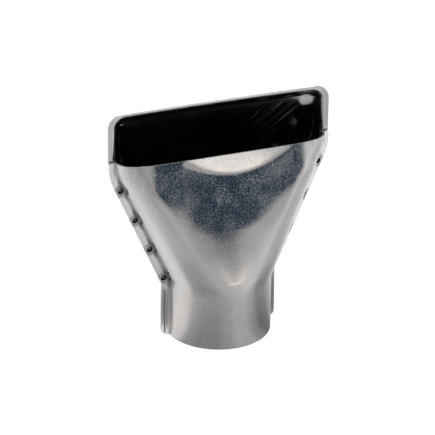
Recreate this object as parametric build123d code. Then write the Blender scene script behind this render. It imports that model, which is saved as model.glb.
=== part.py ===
from build123d import *
import os
from math import sqrt, sin, cos, radians, tan, pi

# Wide-slot deflector nozzle for a hot-air gun: two pressed sheet-steel half
# shells, laid face to face on their side flanges and held by eight clinch
# joints. Millimetres, +Z up. Origin on the axis of the collar, in the plane of
# its open lower end; +Z runs up the collar towards the slot. The flanges meet
# in the plane Y = 0, X is the width, the open face of the deflector looks to -Y.

# ---------------------------------------------------------------- dimensions
SHEET = 0.7            # sheet thickness of both shells
COLLAR_R = 17.5        # outer radius of the collar (bore radius 16.8)
COLLAR_H = 18.0        # height over which the collar stays a true cylinder
FOLD_R = 0.5           # concave radius where the duct turns into the flange

ROOT_HALF = 36.2       # half width of the duct (outside) at the mouth
ROOT_KNEE_Z = 19.9     # the side walls leave the collar here ...
ROOT_SLOPE = 0.445     # ... and spread by this much per mm of height
ROOT_BEND = 4.6        # half height of the soft bend back to vertical
MOUTH_R = 7.35         # outer depth of the front half of the duct at the mouth
HOOD_DEPTH = 4.6       # outer depth of the rear half where the hood starts
FRONT_TAPER = (18.0, 24.0)               # front face: starts, full slope
FRONT_SLOPE = 0.204                      # that slope
FRONT_BREAK = (41.0, 4.0)                # it gets steeper here, over +- this much
FRONT_CROWN = radians(7.5)               # the face turns away this much at its creases
REAR_TAPER = (18.0, 25.0)                # rear face: starts, full slope
LIP_RISE = 0.17        # how much steeper the lip stands than the front face
LIP_START_Z, LIP_CREASE_Z = 41.0, 59.2   # hollow below the lip: starts, deepest

MOUTH_Z = 65.6         # cut edge of the front shell
RIM_Z = 81.9           # top edge of the rear shell
WINDOW_TOP_Z = 80.25   # upper inner edge of the deflector window
WINDOW_CORNER = 3.5    # its corner radius
HOOD_R = 2.9           # inner radius of the closed top of the deflector

FLANGE_TOP_HALF = 38.0           # half width over the vertical upper flanges
FLANGE_KNEE_HI = (38.05, 60.0)   # upper knee of the flange edge (half width, z)
FLANGE_BEND_R = 19.0             # radius of that knee
REAR_KNEE_LO = (20.1, 18.9)      # lower knee, rear flange
REAR_FOOT_HALF = 20.3            # half width over the rear flange at the bottom
FRONT_KNEE_LO = (18.95, 16.3)    # lower knee, front flange (narrower)
FRONT_FOOT_HALF = 18.9
FOOT_CORNER_R = 1.9
SEAM_CORNER_R = 1.2              # upper outer corner of the front flange
RIM_CORNER_R = 5.0               # upper outer corners of the rear rim

CLINCH_Z = (21.4, 32.6, 44.0, 55.2)   # heights of the clinch joints
CLINCH_INSET = 1.55    # centre of a joint from the flange edge, square to it
CLINCH_R = 1.0         # drawn plug where it passes through both flanges
CLINCH_LIP_R = 1.25    # rolled lip on the front
CLINCH_PIT_R = 0.72
CLINCH_BUTTON_R = 1.35 # pressed button behind
CLINCH_LIP_H = 0.1
CLINCH_BUTTON_H = 0.6


# ------------------------------------------------------------ driving curves
def ramp(z, z0, w):
    """0 below z0, then rises 1 per mm, softened over z0 +- w."""
    u = z - z0
    if u <= -w:
        return 0.0
    if u >= w:
        return u
    return (u + w) ** 2 / (4 * w)


def root_half(z):
    """Outer half width of the duct, where its wall would meet Y = 0."""
    z1 = ROOT_KNEE_Z + (ROOT_HALF - COLLAR_R) / ROOT_SLOPE
    return COLLAR_R + ROOT_SLOPE * (ramp(z, ROOT_KNEE_Z, 1.9) - ramp(z, z1, ROOT_BEND))


def smooth(a, b, v):
    """0 at a and 1 at b, eased at both ends."""
    t = min(1.0, max(0.0, (v - a) / (b - a)))
    return t * t * (3 - 2 * t)


def depth_front(z):
    """Outer depth of the front half at the middle, before the hollow: a taper
    that gets steeper half way up."""
    za, zb = FRONT_TAPER
    zc, w = FRONT_BREAK
    more = ((COLLAR_R - MOUTH_R - FRONT_SLOPE * (MOUTH_Z - (za + zb) / 2))
            / (MOUTH_Z - zc))
    return (COLLAR_R - FRONT_SLOPE * ramp(z, (za + zb) / 2, (zb - za) / 2)
            - more * ramp(z, zc, w))


def crown_front(z):
    """Angle of the front face at its side creases; nearly flat at the mouth."""
    return FRONT_CROWN * (1 - 0.95 * smooth(36.0, 56.0, z))


def hollow(z):
    """How far the middle of the front face lies below its sides: grows from
    LIP_START_Z, is deepest at the crease under the lip and nothing at the edge."""
    if z <= LIP_START_Z:
        return 0.0
    t = (z - LIP_START_Z) / (LIP_CREASE_Z - LIP_START_Z)
    below = LIP_RISE * (MOUTH_Z - LIP_CREASE_Z) * t ** 1.6
    return max(0.0, min(below, LIP_RISE * (MOUTH_Z - z)))


def depth_rear(z):
    """Outer depth of the rear half: one straight taper up to the hood."""
    za, zb = REAR_TAPER
    zh = WINDOW_TOP_Z - HOOD_R
    s = (COLLAR_R - HOOD_DEPTH) / (zh - (za + zb) / 2)
    return COLLAR_R - s * ramp(z, (za + zb) / 2, (zb - za) / 2)


# A section at height z is (z, c, rs, apex, end): a side arc of radius rs about
# (c, 0) runs up from the flange plane to the angle end, then one flatter arc
# crosses the middle at the depth apex.
def arcs(c, rs, f, lift, end):
    """Points of the right half: fold start, its middle, fold end, middle of the
    side arc, its end. f: fold radius, lift: height the fold starts at."""
    xf = c + sqrt((rs + f) ** 2 - (lift + f) ** 2)
    k = rs / (rs + f)
    fold_end = Vector(c + k * (xf - c), k * (lift + f))
    centre = Vector(xf, lift + f)
    start = Vector(xf, lift)
    mid = ((start - centre) + (fold_end - centre)).normalized() * f + centre
    arc_end = Vector(c + rs * cos(end), rs * sin(end))
    o = Vector(c, 0)
    arc_mid = ((fold_end - o).normalized() + (arc_end - o).normalized()).normalized() * rs + o
    return start, mid, fold_end, arc_mid, arc_end


def hat_wire(z, c, rs, apex, end, flange, s):
    """Closed outline of duct half plus flanges at height z, side s = -1 / +1."""
    t = SHEET
    fs, fm, fe, am, ae = arcs(c, rs, FOLD_R, t, end)

    def p(x, y):
        return Vector(x, s * y, z)

    e = []
    for g in (1, -1):                                 # right half, then left
        half = [Edge.make_line(p(g * flange, t), p(g * fs.X, t)),
                Edge.make_three_point_arc(p(g * fs.X, t), p(g * fm.X, fm.Y), p(g * fe.X, fe.Y)),
                Edge.make_three_point_arc(p(g * fe.X, fe.Y), p(g * am.X, am.Y), p(g * ae.X, ae.Y))]
        e.append(half)
    top = Edge.make_three_point_arc(p(ae.X, ae.Y), p(0, apex), p(-ae.X, ae.Y))
    ends = [Edge.make_line(p(-flange, t), p(-flange, 0)),
            Edge.make_line(p(-flange, 0), p(flange, 0)),
            Edge.make_line(p(flange, 0), p(flange, t))]
    return Wire(e[0] + [top] + e[1][::-1] + ends)


def core_wire(z, c, rs, apex, end, s):
    """Closed outline of the duct's inside at height z: rs is the inner radius."""
    fs, fm, fe, am, ae = arcs(c, rs, FOLD_R + SHEET, 0.0, end)

    def p(x, y):
        return Vector(x, s * y, z)

    right = [Edge.make_line(p(fs.X, -1), p(fs.X, 0)),
             Edge.make_three_point_arc(p(fs.X, 0), p(fm.X, fm.Y), p(fe.X, fe.Y)),
             Edge.make_three_point_arc(p(fe.X, fe.Y), p(am.X, am.Y), p(ae.X, ae.Y))]
    left = [Edge.make_three_point_arc(p(-ae.X, ae.Y), p(-am.X, am.Y), p(-fe.X, fe.Y)),
            Edge.make_three_point_arc(p(-fe.X, fe.Y), p(-fm.X, fm.Y), p(-fs.X, 0)),
            Edge.make_line(p(-fs.X, 0), p(-fs.X, -1))]
    top = Edge.make_three_point_arc(p(ae.X, ae.Y), p(0, apex), p(-ae.X, ae.Y))
    return Wire(right + [top] + left + [Edge.make_line(p(-fs.X, -1), p(fs.X, -1))])


def loft(wires):
    return Solid.make_loft(wires, ruled=True)


FRONT_Z = [18.0, 19.0, 20.0, 21.0, 22.0, 24.0, 30.0, 36.0, 39.0, 42.0, 44.5, 47.0,
           49.0, 51.0, 53.0, 55.0, 56.5, 58.0, LIP_CREASE_Z, 60.5, 62.0, 64.0, MOUTH_Z]
REAR_Z = [18.0, 19.0, 20.0, 21.0, 22.0, 25.0, 57.0, 59.0, 61.0, 63.0, 65.0, 66.6]
REAR_END = radians(85) # the rear's side arcs run up to here
FAR = 48.0             # flanges are made this wide, then cut to their outline


def rear_level(z, d):
    """Section of the rear half with depth d: rounded sides, flat middle."""
    return (z, max(root_half(z) - d, 0.0), d, d, REAR_END)


def front_level(z):
    """Section of the front half: the side arc, radius and centre follow from
    the two arcs being tangent where they meet."""
    r, b = depth_front(z), crown_front(z)
    root = max(root_half(z), r)
    q, t = tan(pi / 4 - b / 2), tan(b / 2)
    xm = (root - q * r) / (1 - q * t)                 # where the two arcs meet
    rs = (r - xm * t) / cos(b)
    return (z, root - rs, rs, r - hollow(z), pi / 2 - b)


def shrink(levels, t=SHEET):
    """The same levels for the surface that lies one sheet inside."""
    return [(z, c, rs - t, apex - t, end) for z, c, rs, apex, end in levels]


def outline(points, radii):
    """Flat plate outline in the XZ plane, mirrored about X = 0, as a prism.
    points: right-hand side from the foot up; radii: corner radius at each."""
    pts = [(x, z) for x, z in points] + [(-x, z) for x, z in reversed(points)]
    rad = list(radii) + list(reversed(radii))
    face = make_face(Polyline(*pts, close=True))
    for (x, z), r in zip(pts, rad):
        if r > 0:
            v = sorted(face.vertices(), key=lambda q: (q.X - x) ** 2 + (q.Y - z) ** 2)[0]
            face = fillet(v, r)
    placed = Plane.XZ * face                          # local Y becomes +Z
    return extrude(placed, amount=40, both=True)


front_outline = outline(
    [(FRONT_FOOT_HALF, 0), FRONT_KNEE_LO, FLANGE_KNEE_HI, (FLANGE_TOP_HALF, MOUTH_Z)],
    [FOOT_CORNER_R - 0.5, 2.0, FLANGE_BEND_R, SEAM_CORNER_R])
rear_outline = outline(
    [(REAR_FOOT_HALF, 0), REAR_KNEE_LO, FLANGE_KNEE_HI, (FLANGE_TOP_HALF - 0.05, RIM_Z)],
    [FOOT_CORNER_R, 2.0, FLANGE_BEND_R, RIM_CORNER_R])


def solid_of(shape):
    """The single solid in a boolean result."""
    parts = shape.solids()
    assert len(parts) == 1, len(parts)
    return parts[0]


# -------------------------------------------------------------- front shell
levels = [front_level(z) for z in FRONT_Z]
foot = (0.0,) + levels[0][1:]
levels = [foot] + levels
outer = loft([hat_wire(*v, FAR, -1) for v in levels])
below = (-1.0,) + foot[1:]
above = (MOUTH_Z + 1.0,) + levels[-1][1:]
core = loft([core_wire(*v, -1) for v in shrink([below] + levels[1:-1] + [above])])
front_shell = solid_of((outer & front_outline) - core)

# --------------------------------------------------------------- rear shell
# the rear face tapers on above the mouth and is closed by a hood that turns
# the air out through the window
z_h = WINDOW_TOP_Z - HOOD_R
a_in = ROOT_HALF - SHEET
r_in = depth_rear(z_h) - SHEET
STEPS = 7
hood, hood_out = [], []                               # inner, outer levels
for i in range(STEPS + 1):
    b = radians(90) * i / STEPS
    z = z_h + HOOD_R * sin(b)
    r = r_in - HOOD_R + HOOD_R * cos(b)
    dz = max(0.0, z - (WINDOW_TOP_Z - WINDOW_CORNER))
    w = a_in - (WINDOW_CORNER - sqrt(WINDOW_CORNER ** 2 - dz ** 2))
    hood.append((z, w - r, r, r, REAR_END))
    rr, cc = HOOD_R + SHEET, WINDOW_CORNER + SHEET
    z = z_h + rr * sin(b)
    r = r_in + SHEET - rr + rr * cos(b)
    dz = max(0.0, z - (WINDOW_TOP_Z - WINDOW_CORNER))
    w = ROOT_HALF - (cc - sqrt(max(cc ** 2 - dz ** 2, 0)))
    hood_out.append((z, w - r, r, r, REAR_END))

levels = [rear_level(z, depth_rear(z)) for z in REAR_Z]
foot = (0.0,) + levels[0][1:]
below = (-1.0,) + foot[1:]
outer = loft([hat_wire(*v, FAR, 1) for v in [foot] + levels + hood_out])
core = loft([core_wire(*v, 1) for v in shrink([below] + levels) + hood])
plate = Pos(0, SHEET / 2, RIM_Z - 2) * Box(2 * FAR, SHEET, 8)
plate = plate - Pos(0, SHEET / 2, 0) * Box(4 * FAR, 4, 2 * (WINDOW_TOP_Z + SHEET))
rear_shell = solid_of(((outer + plate) & rear_outline) - core)


# ------------------------------------------------------------ clinch joints
def clinch_places():
    """(x, z) of the joints on the right-hand flange."""
    x0, z0 = REAR_KNEE_LO
    x1, z1 = FLANGE_KNEE_HI
    slope = (x1 - x0) / (z1 - z0)
    n = sqrt(1 + slope ** 2)
    return [(x0 + slope * (z - z0) - CLINCH_INSET * n, z) for z in CLINCH_Z]


def clinch(x, z):
    """Drawn plug: rolled lip and pit in front, closed button behind."""
    t = SHEET
    prof = [(0, t + CLINCH_BUTTON_H), (CLINCH_BUTTON_R - 0.25, t + CLINCH_BUTTON_H),
            (CLINCH_BUTTON_R, t + CLINCH_BUTTON_H - 0.25), (CLINCH_BUTTON_R, t),
            (CLINCH_R, t), (CLINCH_R, -t), (CLINCH_LIP_R, -t),
            (CLINCH_LIP_R, -t - CLINCH_LIP_H), (CLINCH_PIT_R + 0.12, -t - CLINCH_LIP_H),
            (CLINCH_PIT_R, -t + 0.1), (CLINCH_PIT_R - 0.05, t - 0.1), (0, t - 0.1)]
    face = make_face(Polyline(*prof, close=True))
    plug = revolve(face, Axis.Y, 360)
    return Pos(x, 0, z) * plug


def tool(x, z, radius, y0, y1):
    """Cylinder along Y from y0 to y1."""
    return Pos(x, (y0 + y1) / 2, z) * (Rot(90, 0, 0) * Cylinder(radius, y1 - y0))


# each joint passes through both flanges; its tools also mark the folds beside
# it, so the lip and the button sit in shallow spot faces
SPOT = 0.06
for x, z in clinch_places():
    for g in (1, -1):
        front_shell = front_shell - tool(g * x, z, CLINCH_R, -2, 2)
        rear_shell = rear_shell - tool(g * x, z, CLINCH_R, -2, 2)
        front_shell = front_shell - tool(g * x, z, CLINCH_LIP_R + SPOT, -5, -SHEET)
        rear_shell = rear_shell - tool(g * x, z, CLINCH_BUTTON_R + SPOT, SHEET, 5)
front_shell = solid_of(front_shell)
rear_shell = solid_of(rear_shell)

right = Compound(children=[clinch(x, z).solid() for x, z in clinch_places()])
left = Compound(children=[clinch(-x, z).solid() for x, z in clinch_places()])

# -------------------------------------------------------------------- files
os.makedirs("parts", exist_ok=True)
for name, shape in [("front_shell", front_shell), ("rear_shell", rear_shell),
                    ("clinch_joints_right", right), ("clinch_joints_left", left)]:
    export_step(shape, "parts/%s.step" % name)
    bb = shape.bounding_box()
    print(name, round(shape.volume, 1), "mm3",
          [round(v, 2) for v in (bb.min.X, bb.min.Y, bb.min.Z, bb.max.X, bb.max.Y, bb.max.Z)])
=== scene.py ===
import math
import bpy
import bmesh
import numpy as np
from mathutils import Matrix, Vector


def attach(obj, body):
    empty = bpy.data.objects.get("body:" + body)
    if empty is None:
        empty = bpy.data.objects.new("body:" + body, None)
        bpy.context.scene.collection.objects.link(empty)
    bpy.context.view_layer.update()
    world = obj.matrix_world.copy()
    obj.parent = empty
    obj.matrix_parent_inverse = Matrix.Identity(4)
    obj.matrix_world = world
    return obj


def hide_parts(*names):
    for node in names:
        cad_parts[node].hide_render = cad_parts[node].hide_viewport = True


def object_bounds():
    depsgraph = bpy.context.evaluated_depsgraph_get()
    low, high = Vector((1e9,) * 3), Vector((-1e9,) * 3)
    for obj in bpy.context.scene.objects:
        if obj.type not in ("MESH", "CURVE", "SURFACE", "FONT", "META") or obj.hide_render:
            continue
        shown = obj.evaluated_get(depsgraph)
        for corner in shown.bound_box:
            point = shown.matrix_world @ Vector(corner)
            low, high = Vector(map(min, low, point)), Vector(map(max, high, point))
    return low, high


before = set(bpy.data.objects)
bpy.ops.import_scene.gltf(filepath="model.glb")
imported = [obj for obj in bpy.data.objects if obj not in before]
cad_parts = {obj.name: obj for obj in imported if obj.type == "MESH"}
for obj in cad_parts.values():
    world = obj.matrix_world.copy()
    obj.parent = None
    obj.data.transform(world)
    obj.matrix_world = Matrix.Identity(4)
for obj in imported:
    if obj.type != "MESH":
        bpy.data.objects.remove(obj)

cad_lo, cad_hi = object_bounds()

# Everything below is worked out in millimetres in the frame's axes and turned
# into metres when a mesh is finished. +Z runs up the collar to the slot, the
# open face of the deflector looks to -Y, the flanges meet in the plane Y = 0.

# ----------------------------------------------------------------- dimensions
SHEET = 0.7
COLLAR_R = 17.5
FOLD_R = 0.65
ROOT_HALF, ROOT_KNEE_Z, ROOT_SLOPE, ROOT_BEND = 36.2, 19.9, 0.445, 4.6
MOUTH_R, HOOD_DEPTH = 7.35, 4.6
FRONT_TAPER, FRONT_SLOPE, FRONT_BREAK = (18.0, 24.0), 0.204, (41.0, 4.0)
CROWN = math.radians(7.5)  # how far the front face turns away at its side creases
REAR_TAPER = (18.0, 25.0)
LIP_RISE = 0.17          # how much steeper the lip stands than the front face
LIP_LOW_Z, LIP_X, LIP_HALF, LIP_START_Z = 58.2, 3.4, 19.6, 41.0
MOUTH_Z, RIM_Z, WINDOW_TOP_Z, HOOD_R = 65.6, 81.9, 80.25, 2.9
CLINCH_Z = (21.4, 32.6, 44.0, 55.2)
KNEE_LO, KNEE_HI = (20.1, 18.9), (38.05, 60.0)
CLINCH_INSET = 1.55
H = SHEET / 2


def ramp(z, z0, w):
    u = z - z0
    if u <= -w:
        return 0.0
    if u >= w:
        return u
    return (u + w) ** 2 / (4 * w)


def smooth(a, b, v):
    t = min(1.0, max(0.0, (v - a) / (b - a)))
    return t * t * (3 - 2 * t)


def root_half(z):
    z1 = ROOT_KNEE_Z + (ROOT_HALF - COLLAR_R) / ROOT_SLOPE
    return COLLAR_R + ROOT_SLOPE * (ramp(z, ROOT_KNEE_Z, 1.9) - ramp(z, z1, ROOT_BEND))


def depth_front(z):
    """Outer depth of the front half: a taper that gets steeper half way up."""
    za, zb = FRONT_TAPER
    zc, w = FRONT_BREAK
    more = (COLLAR_R - MOUTH_R - FRONT_SLOPE * (MOUTH_Z - (za + zb) / 2)) / (MOUTH_Z - zc)
    return (COLLAR_R - FRONT_SLOPE * ramp(z, (za + zb) / 2, (zb - za) / 2)
            - more * ramp(z, zc, w))


def crown_front(z):
    """Angle of the front face at its creases; it gets flat towards the mouth."""
    return CROWN * (1 - 0.97 * smooth(36.0, 56.0, z))


def hollow(x, z):
    """How far the front face lies below a straight taper: a shallow trough that
    deepens towards a curved crease, then a flat lip that comes back out to the
    mouth edge. x is an array."""
    crease = LIP_LOW_Z + (MOUTH_Z - LIP_LOW_Z) * np.minimum(1.0, ((x - LIP_X) / LIP_HALF) ** 2)
    depth = LIP_RISE * (MOUTH_Z - crease)
    t = np.clip((z - LIP_START_Z) / np.maximum(crease - LIP_START_Z, 1e-6), 0.0, 1.6)
    below = depth * t ** 1.6
    above = LIP_RISE * (MOUTH_Z - z)
    k = 0.13                                # soft minimum of the two
    m = -k * np.log(np.exp(-below / k) + np.exp(-above / k))
    return np.maximum(m, 0.0)


def depth_rear(z):
    za, zb = REAR_TAPER
    zh = WINDOW_TOP_Z - HOOD_R
    s = (COLLAR_R - HOOD_DEPTH) / (zh - (za + zb) / 2)
    return COLLAR_R - s * ramp(z, (za + zb) / 2, (zb - za) / 2)


def edge_line(foot_half, knee, knee_r, hi, bend_r, z):
    """Half width of a flange: upright foot, bend, slant, large bend, upright top."""
    (x0, z0), (x1, z1) = knee, hi
    s = (x1 - x0) / (z1 - z0)
    half = math.atan(s) / 2
    w0 = knee_r * math.tan(half)
    w1 = bend_r * math.tan(half)
    lean = (x0 - foot_half) / z0
    return foot_half + lean * z + (s - lean) * ramp(z, z0, w0) - s * ramp(z, z1, w1)


def quarter(z, z_end, rx, rz, up):
    """How much a corner with semi-axes rx, rz takes off the half width."""
    d = (z - (z_end - rz)) / rz if up else ((z_end + rz) - z) / rz
    if d <= 0:
        return 0.0
    return rx * (1 - math.sqrt(max(0.0, 1 - min(d, 1.0) ** 2)))


def front_edge(z):
    w = edge_line(18.9, (18.95, 16.3), 2.0, KNEE_HI, 19.0, z)
    return w - quarter(z, 0.0, 0.66, 1.4, False) - quarter(z, MOUTH_Z, 1.12, 1.9, True)


def rear_edge(z):
    w = edge_line(20.3, KNEE_LO, 2.0, KNEE_HI, 19.0, z)
    return w - quarter(z, 0.0, 1.9, 1.9, False)


def clinch_places():
    (x0, z0), (x1, z1) = KNEE_LO, KNEE_HI
    s = (x1 - x0) / (z1 - z0)
    n = math.sqrt(1 + s * s)
    return [(x0 + s * (z - z0) - CLINCH_INSET * n, z) for z in CLINCH_Z]


# ------------------------------------------------------------- sheet sections
N_FLANGE, N_FOLD, N_ARC = 6, 8, 26


def profile(edge, root, a, depth_at):
    """Middle line of the sheet from the flange edge to the end of the side arc.
    edge: flange edge outside the root; insets start at 0 at the root and grow inwards.
    root: not used. a: lateral radius. depth_at(inset): outer depth there. Returns (inset, y) pairs."""
    th = np.linspace(0.0, math.pi / 2, 181)
    ins = H + (a - H) * (1 - np.cos(th))
    dep = np.array([(depth_at(i) - H) for i in ins]) * np.sin(th)
    rf = FOLD_R + H                         # fold radius of the middle line
    yc = H + rf
    lo, hi = -3.0, 1.0                      # inset of the fold centre (negative is outside)
    for _ in range(40):
        m = (lo + hi) / 2
        if np.min(np.hypot(ins - m, dep - yc)) > rf:
            lo = m
        else:
            hi = m
    uc = lo
    k = int(np.argmin(np.hypot(ins - uc, dep - yc)))
    ang = math.atan2(dep[k] - yc, ins[k] - uc)
    pts = []
    for i in range(N_FLANGE):
        pts.append((edge + (uc - edge) * i / N_FLANGE, H))
    for i in range(N_FOLD):
        t = i / N_FOLD
        b = -math.pi / 2 + (ang + math.pi / 2) * t
        pts.append((uc + rf * math.cos(b), yc + rf * math.sin(b)))
    th2 = np.linspace(th[k], math.pi / 2, N_ARC + 1)
    for i in range(N_ARC + 1):
        u = H + (a - H) * (1 - math.cos(th2[i]))
        pts.append((u, (depth_at(u) - H) * math.sin(th2[i])))
    return pts


def row(z, depth, edge, mid, bow, top_angle, crown):
    """One level of a shell, from the right flange edge to the left one, as
    (x, y) on the middle line of the sheet (y away from the flange plane). A side
    arc runs up from the flange plane and meets a flatter arc across the middle,
    which leans by crown there."""
    r = depth(z)
    root = max(root_half(z), r)
    q, t = math.tan(math.pi / 4 - crown / 2), math.tan(crown / 2)
    xm = (root - q * r) / (1 - q * t)               # where the two arcs meet
    rs = (r - xm * t) / math.cos(crown)
    c = root - rs
    pr = profile(root - edge(z), 0.0, rs, lambda i: rs)
    half = [(root - u, y) for u, y in pr]
    end = math.pi / 2 - crown
    a1 = min(top_angle(z), end)
    fl = half[:N_FLANGE + N_FOLD]
    x0, y0 = half[N_FLANGE + N_FOLD]
    th0 = math.atan2(y0, x0 - c)
    rr = rs - H
    arc = [(c + rr * math.cos(t), rr * math.sin(t)) for t in np.linspace(th0, a1, N_ARC + 1)]
    rest_arc = rr * (end - a1)
    if crown > 1e-4:
        rm = xm / math.sin(crown)                   # radius of the middle arc
        cy = r - rm
        rm -= H
        across = rm * crown
    else:
        across = xm
    total = rest_arc + across
    n = mid // 2
    middle = []
    for i in range(1, n + 1):
        s = total * i / n
        if s < rest_arc:
            t = a1 + s / rr
            middle.append((c + rr * math.cos(t), rr * math.sin(t)))
        elif crown > 1e-4:
            b = max(0.0, crown - (s - rest_arc) / rm)
            middle.append((rm * math.sin(b), cy + rm * math.cos(b)))
        else:
            middle.append((max(0.0, xm - (s - rest_arc)), r - H))
    middle[-1] = (0.0, middle[-1][1])
    right = fl + arc + middle
    left = [(-x, y) for x, y in right[:-1]][::-1]
    pts = np.array(right + left)
    pts[:, 1] -= bow(pts[:, 0], z, xm)
    return pts


def unevenness(x, z, seed):
    """Slow hand-scale ripple of a pressed sheet, in mm."""
    a = np.sin(x / 4.3 + z / 9.1 + seed) + 0.7 * np.sin(z / 5.2 - x / 11.0 + 2.1 * seed)
    b = 0.6 * np.sin(x / 2.6 - z / 6.1 + 0.7 + seed) + 0.5 * np.sin(z / 3.1 + x / 7.7 + 1.9)
    return 0.006 * (a + b)


def tool_marks(p, side_out):
    """The clinching tool presses the wall beside each joint: points of the wall
    inside the tool's radius are pushed out to it."""
    q = p.copy()
    radius = 2.6
    for cx, cz in clinch_places():
        for g in (1, -1):
            dx, dz = q[:, 0] - g * cx, q[:, 2] - (cz + 0.35)
            d = np.hypot(dx, dz)
            lift = np.abs(q[:, 1]) - H
            near = (d < radius) & (lift > 0.02) & (lift < 3.2) & (d > 1e-6)
            fade = np.clip(lift / 0.25, 0, 1) * np.clip((3.2 - lift) / 1.6, 0, 1)
            push = np.where(near, (radius - d) * fade * 0.85, 0.0)
            d = np.where(d < 1e-6, 1.0, d)
            q[:, 0] += dx / d * push
            q[:, 2] += dz / d * push
    return q


# ------------------------------------------------------------------- meshes
def mesh_object(name, verts, faces):
    me = bpy.data.meshes.new(name)
    me.from_pydata([tuple(v) for v in verts], [], faces)
    me.update()
    ob = bpy.data.objects.new(name, me)
    bpy.context.scene.collection.objects.link(ob)
    return ob


def clean(ob, dist=1e-4):
    bm = bmesh.new()
    bm.from_mesh(ob.data)
    bmesh.ops.remove_doubles(bm, verts=bm.verts, dist=dist)
    bmesh.ops.recalc_face_normals(bm, faces=bm.faces)
    if bm.calc_volume(signed=True) < 0:
        bmesh.ops.reverse_faces(bm, faces=bm.faces)
    bm.to_mesh(ob.data)
    bm.free()
    ob.data.update()


def applied(ob):
    """The object's mesh with its modifiers made final."""
    dg = bpy.context.evaluated_depsgraph_get()
    me = bpy.data.meshes.new_from_object(ob.evaluated_get(dg), depsgraph=dg)
    ob.modifiers.clear()
    old = ob.data
    ob.data = me
    bpy.data.meshes.remove(old)
    return ob


def grid_faces(rows, cols, base=0):
    f = []
    for i in range(rows - 1):
        for j in range(cols - 1):
            a = base + i * cols + j
            f.append((a, a + 1, a + cols + 1, a + cols))
    return f


def levels(z0, z1, step, extra=()):
    n = max(1, int(round((z1 - z0) / step)))
    zs = set(np.round(np.linspace(z0, z1, n + 1), 5).tolist()) | set(extra)
    return sorted(z for z in zs if z0 <= z <= z1)


FOOT = (0.0, 0.04, 0.12, 0.26, 0.45, 0.7, 1.0, 1.4, 1.9)
MID = 96


def front_bow(x, z, c):
    side = 0.022 * np.maximum(0.0, np.abs(x) - 23.5) ** 2 * smooth(54.0, 60.0, z)
    side = np.minimum(side, 0.7) * np.clip((36.0 - np.abs(x)) / 4.0, 0, 1)
    return hollow(x, z) + side + unevenness(x, z, 0.4) * np.clip(c / 6.0, 0, 1)


def front_sheet():
    top = (63.7, 64.1, 64.5, 64.8, 65.05, 65.25, 65.4, 65.5, 65.56)
    zs = levels(0.0, 17.0, 1.0, FOOT)[:-1] + levels(17.0, MOUTH_Z, 0.3, top)
    ang = lambda z: math.radians(60 + 25 * smooth(19, 45, z))
    verts = []
    for z in zs:
        p = row(z, depth_front, front_edge, MID, front_bow, ang, crown_front(z))
        verts += [(x, -y, z) for x, y in p]
    cols = len(verts) // len(zs)
    v = tool_marks(np.array(verts), -1)
    return mesh_object("shell_front", v, grid_faces(len(zs), cols))


# --- rear shell: rows up to Z_SPLIT, then strips round the window and a panel
Z_SPLIT = 60.0
N_CORNER, N_TOP = 16, 80


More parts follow.
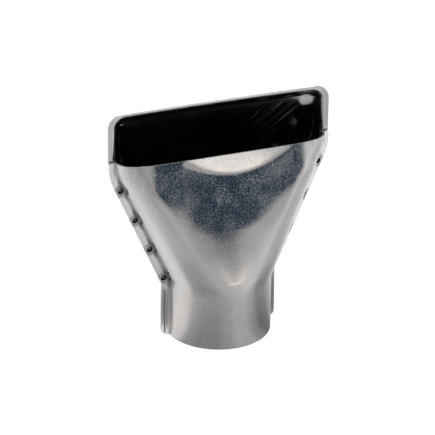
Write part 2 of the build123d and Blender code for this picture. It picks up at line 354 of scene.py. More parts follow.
def rear_sheet():
    ang = lambda z: math.radians(60 + 30 * smooth(19, 45, z))
    flat = lambda x, z, c: unevenness(x, z, 1.3) * np.clip(c / 6.0, 0, 1) * (1 - smooth(52, 60, z))
    zs = levels(0.0, 17.0, 1.0, FOOT)[:-1] + levels(17.0, Z_SPLIT, 0.3)
    mid = N_CORNER + N_TOP                      # columns of the middle part
    verts = []
    for z in zs:
        p = row(z, depth_rear, rear_edge, mid, flat, ang, 0.0)
        verts += [(x, y, z) for x, y in p]
    cols = len(verts) // len(zs)
    lower = np.array(verts)
    faces = grid_faces(len(zs), cols)
    # stations round the window: (edge point, root point, inner point)
    a_top = HOOD_R + SHEET                      # lateral radius of the closed top
    top_in = WINDOW_TOP_Z + SHEET - a_top
    r_split = depth_rear(Z_SPLIT)
    top_depth = depth_rear(top_in)
    xo = ROOT_HALF
    Rr, Ri, Re = 3.5 + SHEET, 1.2, 5.0
    Cr = (xo - Rr, WINDOW_TOP_Z + SHEET - Rr)
    Ci = (xo - top_depth - Ri, top_in - Ri)
    Ce = (38.0 - Re, RIM_Z - Re)
    stations = []
    n_side = 52
    for i in range(n_side + 1):
        t = i / n_side
        ze = Z_SPLIT + (Ce[1] - Z_SPLIT) * t
        zr = Z_SPLIT + (Cr[1] - Z_SPLIT) * t
        zi = Z_SPLIT + (Ci[1] - Z_SPLIT) * t
        stations.append(((rear_edge(ze), ze), (root_half(zr), zr),
                         (root_half(zi) - depth_rear(zi), zi)))
    ex = stations[-1][0][0] - Re
    for i in range(1, N_CORNER + 1):
        b = math.pi / 2 * i / N_CORNER
        cb, sb = math.cos(b), math.sin(b)
        stations.append(((ex + Re * cb, Ce[1] + Re * sb), (Cr[0] + Rr * cb, Cr[1] + Rr * sb),
                         (Ci[0] + Ri * cb, Ci[1] + Ri * sb)))
    for i in range(1, N_TOP // 2 + 1):
        t = i / (N_TOP // 2)
        stations.append(((ex * (1 - t), RIM_Z), (Cr[0] * (1 - t), WINDOW_TOP_Z + SHEET),
                         (Ci[0] * (1 - t), top_in)))
    strip = []
    for (ex_, ez_), (rx_, rz_), (ix_, iz_) in stations:
        e, r, q = np.array([ex_, ez_]), np.array([rx_, rz_]), np.array([ix_, iz_])
        length = float(np.hypot(*(q - r)))
        d = (q - r) / length

        def depth_at(u, r=r, d=d):
            return depth_rear(min(float((r + d * u)[1]), top_in + a_top * 0.6))
        out = float(np.hypot(*(e - r)))
        pr = profile(-out, 0.0, length, depth_at)
        pts = []
        for k, (u, y) in enumerate(pr):
            if u < 0:                            # between root and flange edge
                s = -u / out
                xz = r + (e - r) * s
            else:
                xz = r + d * u
            pts.append((xz[0], y, xz[1]))
        strip.append(pts)
    strip = np.array(strip)                      # stations x columns x 3
    # the rim's top edge bows up a little towards the middle
    nprof = strip.shape[1]
    bowed = strip.copy()
    for s in range(strip.shape[0]):
        for k in range(nprof):
            x, y, z = strip[s, k]
            w = smooth(74.0, 81.9, z) if z > 74 else 0.0
            bowed[s, k, 2] = z - 0.32 * w * min(1.0, (x / 34.0) ** 2)
    strip = bowed
    right = strip.reshape(-1, 3)
    base = len(lower)
    faces += grid_faces(strip.shape[0], nprof, base)
    left = right * np.array([-1.0, 1.0, 1.0])
    base2 = base + len(right)
    faces += grid_faces(strip.shape[0], nprof, base2)
    # panel between the strips (a Coons patch on its four sides)
    inner = strip[:, -1, :]
    half_c = n_side + N_CORNER // 2
    side = inner[:half_c + 1]                    # right side from below
    top = inner[half_c:]                         # from the right corner to the middle
    top_full = np.vstack([top, (top[:-1] * np.array([-1.0, 1.0, 1.0]))[::-1]])
    nu, nv = len(top_full) - 1, len(side) - 1
    c0 = N_FLANGE + N_FOLD + N_ARC
    bottom = lower[-cols:][c0:c0 + nu + 1]
    P = np.zeros((nv + 1, nu + 1, 3))
    for i in range(nv + 1):
        v = i / nv
        R_, L_ = side[i], side[i] * np.array([-1.0, 1.0, 1.0])
        for j in range(nu + 1):
            u = j / nu
            P[i, j] = ((1 - u) * R_ + u * L_ + (1 - v) * bottom[j] + v * top_full[j]
                       - ((1 - u) * (1 - v) * bottom[0] + u * (1 - v) * bottom[-1]
                          + (1 - u) * v * top_full[0] + u * v * top_full[-1]))
            if 0 < i < nv and 0 < j < nu:
                P[i, j, 1] = depth_rear(P[i, j, 2]) - H
    base3 = base2 + len(left)
    faces += grid_faces(nv + 1, nu + 1, base3)
    v = np.vstack([lower, right, left, P.reshape(-1, 3)])
    v = tool_marks(v, 1)
    return mesh_object("shell_rear", v, faces)


def cutter(radius):
    """The eight holes the clinched plugs sit in, as one mesh."""
    n = 40
    verts, faces = [], []
    for cx, cz in clinch_places():
        for g in (1, -1):
            b = len(verts)
            for y in (-2.0, 2.4):
                for k in range(n):
                    t = 2 * math.pi * k / n
                    verts.append((g * cx + radius * math.cos(t), y, cz + radius * math.sin(t)))
            for k in range(n):
                m = (k + 1) % n
                faces.append((b + k, b + m, b + n + m, b + n + k))
            faces.append(tuple(b + k for k in range(n))[::-1])
            faces.append(tuple(b + n + k for k in range(n)))
    ob = mesh_object("cutter", verts, faces)
    clean(ob)
    return ob


def finish_shell(ob, cut):
    clean(ob, 2e-3)
    s = ob.modifiers.new("thick", "SOLIDIFY")
    s.thickness = SHEET
    s.offset = 0.0
    s.use_even_offset = True
    s.use_quality_normals = True
    b = ob.modifiers.new("edges", "BEVEL")
    b.width = 0.11
    b.segments = 3
    b.limit_method = "ANGLE"
    b.angle_limit = math.radians(50)
    b.use_clamp_overlap = False
    k = ob.modifiers.new("holes", "BOOLEAN")
    k.operation = "DIFFERENCE"
    k.object = cut
    k.solver = "EXACT"
    applied(ob)
    clean(ob, 1e-5)
    return ob


def mark_inside(ob, depth, s):
    """Stores on each point how far it lies on the duct's inner face (0 to 1)."""
    me = ob.data
    n = len(me.vertices)
    co = np.zeros(n * 3)
    no = np.zeros(n * 3)
    me.vertices.foreach_get("co", co)
    me.vertices.foreach_get("normal", no)
    co, no = co.reshape(-1, 3), no.reshape(-1, 3)
    val = np.zeros(n, np.float32)
    for i, (p, q) in enumerate(zip(co, no)):
        z = min(max(p[2], 0.0), 78.0)
        c = max(root_half(z) - depth(z), 0.0)
        w = root_half(z)
        ax, ay = p[0] - min(max(p[0], -c), c), p[1]
        if p[2] > 76.5:                                # the closed top of the deflector
            az = p[2] - 76.5
        else:
            az = 0.0
        if abs(p[0]) > w + 0.2 or p[2] > WINDOW_TOP_Z + 0.35:
            continue
        if q[0] * ax + q[1] * ay + q[2] * az < 0:
            v = s * p[1]
            lo, hi = (0.25, 1.6) if p[2] > MOUTH_Z - 2 or s > 0 else (-1.0, -0.5)
            val[i] = smooth(lo, hi, v)
    at = me.attributes.new("inside", "FLOAT", "POINT")
    at.data.foreach_set("value", val)


def lathe(name, places, prof, n=48):
    """Revolves (radius, y) points about an axis along Y at each (x, z)."""
    verts, faces = [], []
    for cx, cz in places:
        b = len(verts)
        for r, y in prof[1:-1]:
            for k in range(n):
                t = 2 * math.pi * k / n
                verts.append((cx + r * math.cos(t), y, cz + r * math.sin(t)))
        m = len(prof) - 2
        for i in range(m - 1):
            for k in range(n):
                q = (k + 1) % n
                faces.append((b + i * n + k, b + i * n + q, b + (i + 1) * n + q, b + (i + 1) * n + k))
        p0 = len(verts)
        verts.append((cx, prof[0][1], cz))
        p1 = len(verts)
        verts.append((cx, prof[-1][1], cz))
        for k in range(n):
            q = (k + 1) % n
            faces.append((p0, b + q, b + k))
            faces.append((p1, b + (m - 1) * n + k, b + (m - 1) * n + q))
    ob = mesh_object(name, verts, faces)
    clean(ob, 1e-6)
    return ob


def round_profile(points, radii, steps=5):
    """Rounds the corners of an open polyline."""
    out = [points[0]]
    for i in range(1, len(points) - 1):
        a, p, b = (np.array(points[j], float) for j in (i - 1, i, i + 1))
        u, v = (a - p) / np.linalg.norm(a - p), (b - p) / np.linalg.norm(b - p)
        half = math.acos(max(-1.0, min(1.0, float(u @ v)))) / 2
        r = radii[i - 1]
        t = min(r / math.tan(half), np.linalg.norm(a - p) * 0.49, np.linalg.norm(b - p) * 0.49)
        for k in range(steps + 1):
            s = k / steps
            q = (1 - s) ** 2 * (p + u * t) + 2 * s * (1 - s) * p + s ** 2 * (p + v * t)
            out.append(tuple(q))
    out.append(points[-1])
    return out


# pit floor, wall, rolled lip in front, outside of the plug, button behind
PLUG = round_profile(
    [(0.0, 0.42), (0.86, 0.42), (0.98, -0.55), (1.08, -0.8), (1.4, -0.79), (1.44, -0.62),
     (1.2, -0.60), (1.2, 0.72), (1.4, 0.72), (1.4, 1.28), (0.0, 1.3)],
    [0.3, 0.3, 0.15, 0.12, 0.08, 0.02, 0.02, 0.02, 0.02, 0.32])
PLUG[-1] = (0.0, 1.29)


def to_metres(ob):
    """Millimetres to metres; the collar is a true circle, which the CAD model's
    facets lie a hair inside, so the mesh is drawn in by as much."""
    ob.data.transform(Matrix.Diagonal((0.001, 0.001 * 0.9995, 0.001, 1.0)))
    n = len(ob.data.vertices) * 3
    co = np.zeros(n)
    ob.data.vertices.foreach_get("co", co)
    co = np.clip(co.reshape(-1, 3), np.array(cad_lo) + 1e-7, np.array(cad_hi) - 1e-7)
    ob.data.vertices.foreach_set("co", co.reshape(-1))
    ob.data.update()


def shade(ob):
    for p in ob.data.polygons:
        p.use_smooth = True
    w = ob.modifiers.new("normals", "WEIGHTED_NORMAL")
    w.weight = 60
    w.keep_sharp = True
    w.mode = "FACE_AREA"


cut = cutter(1.24)
front = finish_shell(front_sheet(), cut)
rear = finish_shell(rear_sheet(), cut)
bpy.data.objects.remove(cut)
places = clinch_places()
mark_inside(front, depth_front, -1)
mark_inside(rear, depth_rear, 1)
right_plugs = lathe("clinches_right", places, PLUG)
left_plugs = lathe("clinches_left", [(-x, z) for x, z in places], PLUG)
for ob in (front, rear, right_plugs, left_plugs):
    to_metres(ob)
    shade(ob)


# ---------------------------------------------------------------- materials
class Nodes:
    """Small helper for building node trees."""

    def __init__(self, tree):
        self.t = tree
        tree.nodes.clear()

    def new(self, kind, **props):
        n = self.t.nodes.new(kind)
        for k, v in props.items():
            setattr(n, k, v)
        return n

    def put(self, socket, v):
        if hasattr(v, "is_output") or isinstance(v, bpy.types.NodeSocket):
            self.t.links.new(v, socket)
        else:
            socket.default_value = v

    def math(self, op, a, b=0.0, c=None, clamp=False):
        n = self.new("ShaderNodeMath", operation=op, use_clamp=clamp)
        self.put(n.inputs[0], a)
        self.put(n.inputs[1], b)
        if c is not None:
            self.put(n.inputs[2], c)
        return n.outputs[0]

    def step(self, v, lo, hi, a=0.0, b=1.0):
        n = self.new("ShaderNodeMapRange", interpolation_type="SMOOTHSTEP")
        self.put(n.inputs["Value"], v)
        self.put(n.inputs["From Min"], lo)
        self.put(n.inputs["From Max"], hi)
        self.put(n.inputs["To Min"], a)
        self.put(n.inputs["To Max"], b)
        return n.outputs["Result"]

    def mix(self, f, a, b):
        n = self.new("ShaderNodeMix", data_type="RGBA")
        self.put(n.inputs["Factor"], f)
        self.put(n.inputs["A"] if False else n.inputs[6], a)
        self.put(n.inputs[7], b)
        return n.outputs[2]

    def noise(self, vec, scale, detail=2.0, rough=0.5, distortion=0.0):
        n = self.new("ShaderNodeTexNoise")
        self.put(n.inputs["Vector"], vec)
        self.put(n.inputs["Scale"], scale)
        self.put(n.inputs["Detail"], detail)
        self.put(n.inputs["Roughness"], rough)
        self.put(n.inputs["Distortion"], distortion)
        return n.outputs[0]

    def scaled(self, vec, s, rot=(0, 0, 0), loc=(0, 0, 0)):
        n = self.new("ShaderNodeMapping")
        self.put(n.inputs["Vector"], vec)
        n.inputs["Location"].default_value = loc
        n.inputs["Rotation"].default_value = rot
        n.inputs["Scale"].default_value = s
        return n.outputs[0]


def col(r, g, b):
    return (r, g, b, 1.0)


def steel(name, tone=1.0):
    """Rolled and pressed steel sheet: fine rolling grain, cloudy gloss, dust
    specks, scuffs, painted shade in the folds, round the joints, along the flange
    overlaps, in the clinch pits and on the rim's right end, a darker inner face of
    the duct, and a painted highlight in the hood's right corner."""
    m = bpy.data.materials.new(name)
    m.use_nodes = True
    N = Nodes(m.node_tree)
    tc = N.new("ShaderNodeTexCoord").outputs["Object"]
    mm = N.scaled(tc, (1000.0, 1000.0, 1000.0))          # millimetres
    sep = N.new("ShaderNodeSeparateXYZ")
    N.put(sep.inputs[0], mm)
    ax, ay, z = N.math("ABSOLUTE", sep.outputs[0]), N.math("ABSOLUTE", sep.outputs[1]), sep.outputs[2]
    att = N.new("ShaderNodeAttribute", attribute_name="inside")
    inside = att.outputs["Fac"]
    outside = N.math("SUBTRACT", 1.0, inside)

    # distance to the folds beside the flanges
    fold_x = N.math("MINIMUM", N.math("MAXIMUM", N.math("SUBTRACT", z, ROOT_KNEE_Z), 0.0),
                    (ROOT_HALF - COLLAR_R) / ROOT_SLOPE)
    fold_x = N.math("ADD", N.math("MULTIPLY", fold_x, ROOT_SLOPE), COLLAR_R + 0.08)
    dx = N.math("SUBTRACT", ax, fold_x)
    dy = N.math("SUBTRACT", ay, 1.25)
    fold = N.math("SQRT", N.math("ADD", N.math("MULTIPLY", dx, dx), N.math("MULTIPLY", dy, dy)))
    # distance to the nearest joint
    joint = None
    for cx, cz in clinch_places():
        ux, uz = N.math("SUBTRACT", ax, cx), N.math("SUBTRACT", z, cz)
        d = N.math("SQRT", N.math("ADD", N.math("MULTIPLY", ux, ux), N.math("MULTIPLY", uz, uz)))
        joint = d if joint is None else N.math("MINIMUM", joint, d)

    cloud = N.noise(N.scaled(mm, (0.09, 0.09, 0.07)), 1.0, 3.0, 0.55)
    grain = N.noise(N.scaled(mm, (5.5, 5.5, 0.8)), 1.0, 3.0, 0.6)
    fine = N.noise(N.scaled(mm, (2.4, 2.4, 2.4)), 1.0, 2.0, 0.6)
    smudge = N.noise(N.scaled(mm, (0.35, 0.35, 0.22), loc=(5, 1, 8)), 1.0, 3.0, 0.6)

    # dust specks: one in many small cells, more of them in some areas
    def specks(scale, size, keep, loc):
        v = N.scaled(mm, (scale, scale, scale), loc=loc)
        cell = N.new("ShaderNodeTexVoronoi", feature="F1")
        N.put(cell.inputs["Vector"], v)
        rnd = N.new("ShaderNodeSeparateColor")
        N.put(rnd.inputs[0], cell.outputs["Color"])
        here = N.step(rnd.outputs[0], 0.99 - keep, 1.01 - keep)
        r = N.math("MULTIPLY", here, N.step(rnd.outputs[1], 0.0, 1.0, 0.55 * size, size))
        return N.step(N.math("SUBTRACT", cell.outputs["Distance"], r), 0.0, -0.09)
    s1 = specks(1.35, 0.44, 0.34, (3, 7, 1))
    s2 = specks(0.8, 0.40, 0.12, (8, 2, 6))
    area = N.step(smudge, 0.34, 0.6, 0.75, 1.0)
    speck = N.math("MULTIPLY", N.math("MAXIMUM", N.math("MULTIPLY", s1, 0.95), s2), area)
    # short scuffs, gathered in patches
    def scuffs(scale, loc, lo, hi):
        w = N.noise(N.scaled(mm, (scale, scale, scale), loc=loc), 1.0, 2.0, 0.5, 1.8)
        ln = N.step(N.math("ABSOLUTE", N.math("SUBTRACT", w, 0.5)), 0.016, 0.005)
        pt = N.noise(N.scaled(mm, (0.15, 0.15, 0.15), loc=loc), 1.0, 1.0, 0.5)
        return N.math("MULTIPLY", ln, N.step(pt, lo, hi))
    line = N.math("MAXIMUM", scuffs(0.62, (11, 2, 5), 0.46, 0.66),
                  N.math("MULTIPLY", scuffs(1.1, (1, 12, 9), 0.42, 0.60), 0.8))
    line = N.math("MULTIPLY", line, 0.6)
    marks = N.math("MAXIMUM", speck, line, clamp=True)
    marks = N.math("MULTIPLY", marks, N.math("ADD", N.math("MULTIPLY", outside, 0.93), 0.07))
    marks = N.math("MULTIPLY", marks, N.step(z, 30.0, 46.0, 0.5, 1.0))       # less dust low down
    pits = N.math("MULTIPLY", specks(1.0, 0.2, 0.06, (4, 4, 2)), outside)

    base = N.mix(N.step(cloud, 0.3, 0.7), col(0.575 * tone, 0.552 * tone, 0.538 * tone),
                 col(0.645 * tone, 0.625 * tone, 0.612 * tone))
    base = N.mix(N.step(grain, 0.35, 0.75, 0.0, 0.30), base, col(0.47 * tone, 0.455 * tone, 0.445 * tone))
    rub = N.math("MULTIPLY", N.step(ay, 0.79, 0.72), N.step(dx, 0.25, 0.55))
    rub = N.math("MULTIPLY", rub, N.math("MULTIPLY", N.step(z, 66.5, 64.5), N.step(z, 12.0, 20.0, 0.25, 1.0)))
    brushed = N.noise(N.scaled(mm, (3.2, 1.0, 3.2), rot=(0, math.radians(35), 0)), 1.0, 2.0, 0.6)
    rubbed = N.mix(N.step(brushed, 0.3, 0.7), col(0.76, 0.745, 0.73), col(0.97, 0.95, 0.935))
    base = N.mix(rub, base, rubbed)
    base = N.mix(N.math("MULTIPLY", marks, 0.78), base, col(0.76, 0.83, 0.90))
    base = N.mix(N.math("MULTIPLY", pits, 0.6), base, col(0.16, 0.15, 0.14))
    # painted shade: the right end of the rim above the seam drawn darker
    rim_shade = N.math("MULTIPLY", N.step(z, 65.8, 67.0), N.math("MULTIPLY", N.step(sep.outputs[0], 34.2, 36.5), outside))
    base = N.mix(N.math("MULTIPLY", rim_shade, 0.5), base, col(0.30, 0.31, 0.295))
    # painted shade: in the folds, round the joints and along the flange overlaps; the duct's inner face is drawn darker
    # below
    reach = N.step(joint, 5.5, 2.0, 0.75, 1.5)
    painted_shade = N.step(N.math("DIVIDE", fold, reach), 1.0, 0.25)
    painted_shade = N.math("MULTIPLY", painted_shade, N.step(smudge, 0.25, 0.6, 0.6, 1.0))
    painted_shade = N.math("MULTIPLY", painted_shade, N.step(joint, 6.0, 2.5, 0.7, 1.0))
    lap_shadow = N.math("ABSOLUTE", N.math("SUBTRACT", ax, 19.02))    # painted shadow line where the front flange's foot edge lies on the rear flange
    lap_shadow = N.math("MULTIPLY", N.step(lap_shadow, 0.22, 0.06), N.step(z, 17.2, 16.0))
    painted_shade = N.math("MAXIMUM", painted_shade, N.math("MULTIPLY", lap_shadow, 0.8))
    # painted shade: a dark ring round each joint on the flanges
    joint_shade = N.math("MULTIPLY", N.step(joint, 1.35, 1.5), N.step(joint, 2.7, 1.6))
    joint_shade = N.math("MULTIPLY", joint_shade, N.step(ay, 3.6, 1.5))
    painted_shade = N.math("MAXIMUM", painted_shade, N.math("MULTIPLY", joint_shade, 0.65))
    seam_shadow = N.math("ABSOLUTE", N.math("SUBTRACT", z, 65.7))     # painted shadow line where the front flange's end lies on the rear one
    seam_shadow = N.math("MULTIPLY", N.step(seam_shadow, 0.45, 0.15), N.math("MULTIPLY", N.step(dx, -0.3, 0.1), N.step(ay, 1.6, 1.0)))
    seam_shadow = N.math("MULTIPLY", seam_shadow, N.step(sep.outputs[1], 0.5, 0.2))
    painted_shade = N.math("MAXIMUM", painted_shade, N.math("MULTIPLY", seam_shadow, 0.85))
    painted_shade = N.math("MULTIPLY", painted_shade, outside)
    # the painted shade darkens the colour here and dulls the metal below
    base = N.mix(N.math("MULTIPLY", painted_shade, 0.85), base, col(0.085, 0.08, 0.076))
    # darker on the duct's inner face, less so towards the top of the hood
    inner_dark = N.step(z, 70.0, 79.0, 0.72, 0.35)
    base = N.mix(N.math("MULTIPLY", inside, inner_dark), base, col(0.10, 0.105, 0.115))
    # faint rubbed streaks on the back wall inside the window
    tilt = N.scaled(mm, (1.0, 1.0, 1.0), rot=(0, math.radians(40), 0))
    w = N.noise(N.scaled(tilt, (0.02, 0.1, 0.8), loc=(3, 0, 2)), 1.0, 0.0, 0.4)
    streak = N.step(N.math("ABSOLUTE", N.math("SUBTRACT", w, 0.5)), 0.03, 0.008)
    X = sep.outputs[0]
    place = N.math("MULTIPLY", N.step(X, 10.0, 16.0), N.step(X, 31.0, 26.0))
    place = N.math("MULTIPLY", place, N.math("MULTIPLY", N.step(z, 64.0, 68.0), N.step(z, 79.0, 74.0)))
    streak = N.math("MULTIPLY", N.math("MULTIPLY", streak, place), N.math("MULTIPLY", inside, 0.22))
    base = N.mix(streak, base, col(0.5, 0.5, 0.5))
    # painted highlight: a pale, less metallic patch in the right corner of the hood that stands in for a reflection
    bx, bz = N.math("DIVIDE", N.math("SUBTRACT", X, 31.7), 2.2), N.math("DIVIDE", N.math("SUBTRACT", z, 75.4), 2.0)
    hood_glint = N.math("SQRT", N.math("ADD", N.math("MULTIPLY", bx, bx), N.math("MULTIPLY", bz, bz)))
    hood_glint = N.math("MULTIPLY", N.step(hood_glint, 1.25, 0.75), N.math("MULTIPLY", inside, N.step(sep.outputs[1], 1.0, 2.0)))
    base = N.mix(N.math("MULTIPLY", hood_glint, 0.95), base, col(0.86, 0.87, 0.86))
    # painted shade: the inside of each clinch pit drawn near black
    pit_shade = N.math("MULTIPLY", N.step(joint, 1.10, 0.92), N.step(sep.outputs[1], -0.72, -0.35))
    pit_shade = N.math("MULTIPLY", pit_shade, N.step(sep.outputs[1], 0.75, 0.65))
    base = N.mix(N.math("MULTIPLY", pit_shade, 0.88), base, col(0.035, 0.033, 0.032))
    rough = N.math("ADD", N.step(cloud, 0.25, 0.75, 0.085, 0.12), N.math("MULTIPLY", fine, 0.03))
    rough = N.math("ADD", rough, N.math("MULTIPLY", marks, 0.4))
    rough = N.math("ADD", rough, N.math("MULTIPLY", painted_shade, 0.35), clamp=True)
    metal = N.math("SUBTRACT", 1.0, N.math("MULTIPLY", marks, 0.8))
    metal = N.math("SUBTRACT", metal, N.math("MULTIPLY", painted_shade, 0.4))
    metal = N.math("SUBTRACT", metal, N.math("MULTIPLY", streak, 0.8))
    metal = N.math("SUBTRACT", metal, N.math("MULTIPLY", hood_glint, 0.85), clamp=True)
    p = N.new("ShaderNodeBsdfPrincipled")
    N.put(p.inputs["Base Color"], base)
    N.put(p.inputs["Roughness"], rough)
    N.put(p.inputs["Metallic"], metal)
    bump = N.new("ShaderNodeBump")
    bump.inputs["Strength"].default_value = 0.12
    bump.inputs["Distance"].default_value = 0.00006
    N.put(bump.inputs["Height"], N.math("ADD", grain, N.math("MULTIPLY", fine, 0.8)))
    N.put(p.inputs["Normal"], bump.outputs[0])
    o = N.new("ShaderNodeOutputMaterial")
    N.t.links.new(p.outputs[0], o.inputs[0])
    return m


sheet_steel = steel("sheet_steel")
plug_steel = steel("drawn_steel", 0.95)
for ob in (front, rear):
    ob.data.materials.clear()
    ob.data.materials.append(sheet_steel)
for ob in (right_plugs, left_plugs):
    ob.data.materials.clear()
    ob.data.materials.append(plug_steel)

for ob, node, slot in ((front, "front_shell", "shell_front"), (rear, "rear_shell", "shell_rear"),
                       (right_plugs, "clinch_joints_right", "clinch"),
                       (left_plugs, "clinch_joints_left", "clinch")):
    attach(ob, "root")
    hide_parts(node)

# -------------------------------------------------------------------- studio
floor_z = cad_lo.z
floor = mesh_object("floor", [(-3, -3, floor_z - 2e-5), (3, -3, floor_z - 2e-5),
                              (3, 3, floor_z - 2e-5), (-3, 3, floor_z - 2e-5)], [(0, 1, 2, 3)])
fm = bpy.data.materials.new("floor_white")
fm.use_nodes = True
N = Nodes(fm.node_tree)
pos = N.new("ShaderNodeTexCoord").outputs["Object"]
sep = N.new("ShaderNodeSeparateXYZ")
N.put(sep.inputs[0], pos)
X, Y, Z = sep.outputs
rho = N.math("MULTIPLY", N.math("SQRT", N.math("ADD", N.math("MULTIPLY", X, X), N.math("MULTIPLY", Y, Y))), 1000.0)
turn = N.math("ARCTAN2", X, N.math("MULTIPLY", Y, -1.0))      # 0 in front, + to the right
turn = N.math("ADD", N.math("DIVIDE", turn, 2 * math.pi), 0.5)


def ring(table):
    """Brightness round the object: {azimuth in degrees: value}."""
    n = N.new("ShaderNodeValToRGB")
    n.color_ramp.interpolation = "EASE"
    e = n.color_ramp.elements
    e.remove(e[1])
    first = True
    for a, v in sorted(table.items()):
        x = (a + 180) / 360
        el = e[0] if first else e.new(x)
        el.position = x
        el.color = col(v, v, v)
        first = False
    N.put(n.inputs[0], turn)
    return n.outputs[0]


# the table: bright to the left and behind, soft shadows in front and to the
# right that deepen close to the object, falling off to a dim room far in front
near = ring({-180: .75, -150: .75, -118: .8, -97: 1.02, -80: .96, -62: .43, -45: .33, -25: .33, -8: .45,
             9: .57, 24: .55, 40: .36, 56: .2, 72: .24, 92: .44, 110: .62, 130: .75, 180: .75})
wide = ring({-180: .95, -130: .93, -95: 1.05, -70: .86, -50: .68, -30: .55, -5: .62, 15: .68, 35: .86,
             60: .64, 85: .72, 110: .96, 140: 1, 180: 1})
tone = N.mix(N.step(rho, 22.0, 85.0), near, wide)


def sector(lo, lo2, hi2, hi):
    """1 between azimuths lo2 and hi2, soft to lo and hi."""
    f = lambda a: (a + 180) / 360
    return N.math("MULTIPLY", N.step(turn, f(lo), f(lo2)), N.step(turn, f(hi), f(hi2)))


f = lambda a: (a + 180) / 360
mid = N.mix(N.step(turn, f(12), f(28)), col(0.40, 0.40, 0.41), col(0.57, 0.57, 0.57))
tone = N.mix(N.math("MULTIPLY", N.step(rho, 170.0, 285.0), sector(-30, -5, 32, 46)), tone, mid)
tone = N.mix(N.math("MULTIPLY", N.step(rho, 150.0, 300.0), sector(42, 52, 75, 95)), tone,
             col(0.92, 0.91, 0.9))
# painted light: a glowing patch on the table in front, brighter than the white floor, that lights the lip's reflection
ahead = N.math("MULTIPLY", Y, -1000.0)
sheet = N.math("MULTIPLY", N.step(ahead, 160.0, 178.0), N.step(ahead, 230.0, 212.0))
sheet = N.math("MULTIPLY", sheet, N.math("MULTIPLY", N.step(X, 0.018, 0.040), N.step(X, 0.099, 0.086)))
tone = N.mix(sheet, tone, col(1.66, 1.59, 1.53))
NAVY = col(0.019, 0.039, 0.070)
far = N.math("MULTIPLY", rho, N.step(turn, f(17), f(25), 1.15, 0.25))
tone = N.mix(N.math("MULTIPLY", sector(4, 13, 29, 40), N.step(far, 300.0, 690.0)), tone, NAVY)
# painted shadow: the table drawn black inside the collar's footprint
tone = N.mix(N.step(rho, 17.3, 16.9), tone, col(0.003, 0.003, 0.003))
shine = N.new("ShaderNodeEmission")
N.put(shine.inputs["Color"], tone)
shine.inputs["Strength"].default_value = 1.0
emi = N.new("ShaderNodeEmission")
# the same painted shadow inside the collar for camera rays
N.put(emi.inputs["Color"], N.mix(N.step(rho, 17.3, 16.9), col(1, 1, 1), col(0.004, 0.004, 0.004)))
emi.inputs["Strength"].default_value = 1.05
lp = N.new("ShaderNodeLightPath")
mx = N.new("ShaderNodeMixShader")
N.t.links.new(lp.outputs["Is Camera Ray"], mx.inputs[0])
N.t.links.new(shine.outputs[0], mx.inputs[1])
N.t.links.new(emi.outputs[0], mx.inputs[2])
out = N.new("ShaderNodeOutputMaterial")
N.t.links.new(mx.outputs[0], out.inputs[0])
floor.data.materials.append(fm)

world = bpy.data.worlds.new("studio")
bpy.context.scene.world = world
world.use_nodes = True
N = Nodes(world.node_tree)
gen = N.new("ShaderNodeTexCoord").outputs["Generated"]
sep = N.new("ShaderNodeSeparateXYZ")
N.put(sep.inputs[0], gen)
X, Y, Z = sep.outputs
el = N.math("MULTIPLY", N.math("ARCSINE", Z), 180 / math.pi)
az = N.math("MULTIPLY", N.math("ARCTAN2", X, N.math("MULTIPLY", Y, -1.0)), 180 / math.pi)
# a dim blue-grey room in front above the table's far edge, softboxes to the
# sides, above and behind
dark_az = N.math("MULTIPLY", N.step(az, 4.0, 13.0), N.step(az, 40.0, 31.0))
grey_az = N.math("MULTIPLY", N.step(az, -78.0, -48.0), N.step(az, 100.0, 66.0))
room_el = N.math("MULTIPLY", N.step(el, -3.0, -1.0), N.step(el, 62.0, 40.0))
light = N.step(el, 20.0, 75.0, 1.0, 1.35)
grey = N.mix(N.step(az, 5.0, 38.0), col(0.5, 0.5, 0.5), col(0.93, 0.92, 0.9))
skyc = N.mix(N.math("MULTIPLY", grey_az, room_el), col(1.0, 0.985, 0.965), grey)
skyc = N.mix(N.math("MULTIPLY", dark_az, room_el), skyc, NAVY)
bg = N.new("ShaderNodeBackground")
N.put(bg.inputs["Color"], skyc)
N.put(bg.inputs["Strength"], N.math("MULTIPLY", light, 1.0))
plain = N.new("ShaderNodeBackground")
plain.inputs["Color"].default_value = (1, 1, 1, 1)
plain.inputs["Strength"].default_value = 1.1
lp = N.new("ShaderNodeLightPath")
mx = N.new("ShaderNodeMixShader")
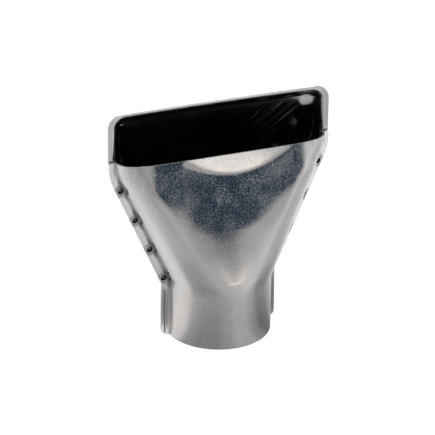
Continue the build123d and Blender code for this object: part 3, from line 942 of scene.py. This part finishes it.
N.t.links.new(lp.outputs["Is Camera Ray"], mx.inputs[0])
N.t.links.new(bg.outputs[0], mx.inputs[1])
N.t.links.new(plain.outputs[0], mx.inputs[2])
out = N.new("ShaderNodeOutputWorld")
N.t.links.new(mx.outputs[0], out.inputs[0])


def softbox(name, loc, target, size, watts, colour=(1, 1, 1)):
    d = bpy.data.lights.new(name, "AREA")
    d.shape = "RECTANGLE"
    d.size, d.size_y = size
    d.energy = watts
    d.color = colour
    ob = bpy.data.objects.new(name, d)
    bpy.context.scene.collection.objects.link(ob)
    ob.location = loc
    ob.rotation_euler = (Vector(target) - Vector(loc)).to_track_quat("-Z", "Y").to_euler()
    return ob


softbox("key_behind", (0.25, 0.9, 1.1), (0, 0, 0.04), (0.8, 0.8), 9.0, (1.0, 0.98, 0.96))

# -------------------------------------------------------------------- camera
E, PSI, RHO = math.radians(26.08), math.radians(21.71), math.radians(0.68)
F_PX, DIST, TX, TY = 2588.0, 0.846, 1.6, -6.16
back = Vector((-math.sin(PSI) * math.cos(E), -math.cos(PSI) * math.cos(E), math.sin(E)))
right = Vector((math.cos(PSI), -math.sin(PSI), 0.0))
up = back.cross(right)
right2 = math.cos(RHO) * right + math.sin(RHO) * up
up2 = -math.sin(RHO) * right + math.cos(RHO) * up
fwd = (-back - (TX / F_PX) * right2 - (-TY / F_PX) * up2).normalized()
cam_back = -fwd
right3 = up2.cross(cam_back).normalized()
up3 = cam_back.cross(right3)
cam_data = bpy.data.cameras.new("camera")
cam_data.sensor_width = 36.0
cam_data.lens = F_PX / 435 * 36.0
cam_data.clip_start, cam_data.clip_end = 0.05, 20.0
cam = bpy.data.objects.new("camera", cam_data)
bpy.context.scene.collection.objects.link(cam)
rot = Matrix((right3, up3, cam_back)).transposed().to_4x4()
cam.matrix_world = Matrix.Translation(Vector((0, 0, 0.042)) + back * DIST) @ rot
bpy.context.scene.camera = cam

bpy.context.scene.view_settings.view_transform = "Standard"
bpy.context.scene.view_settings.look = "None"
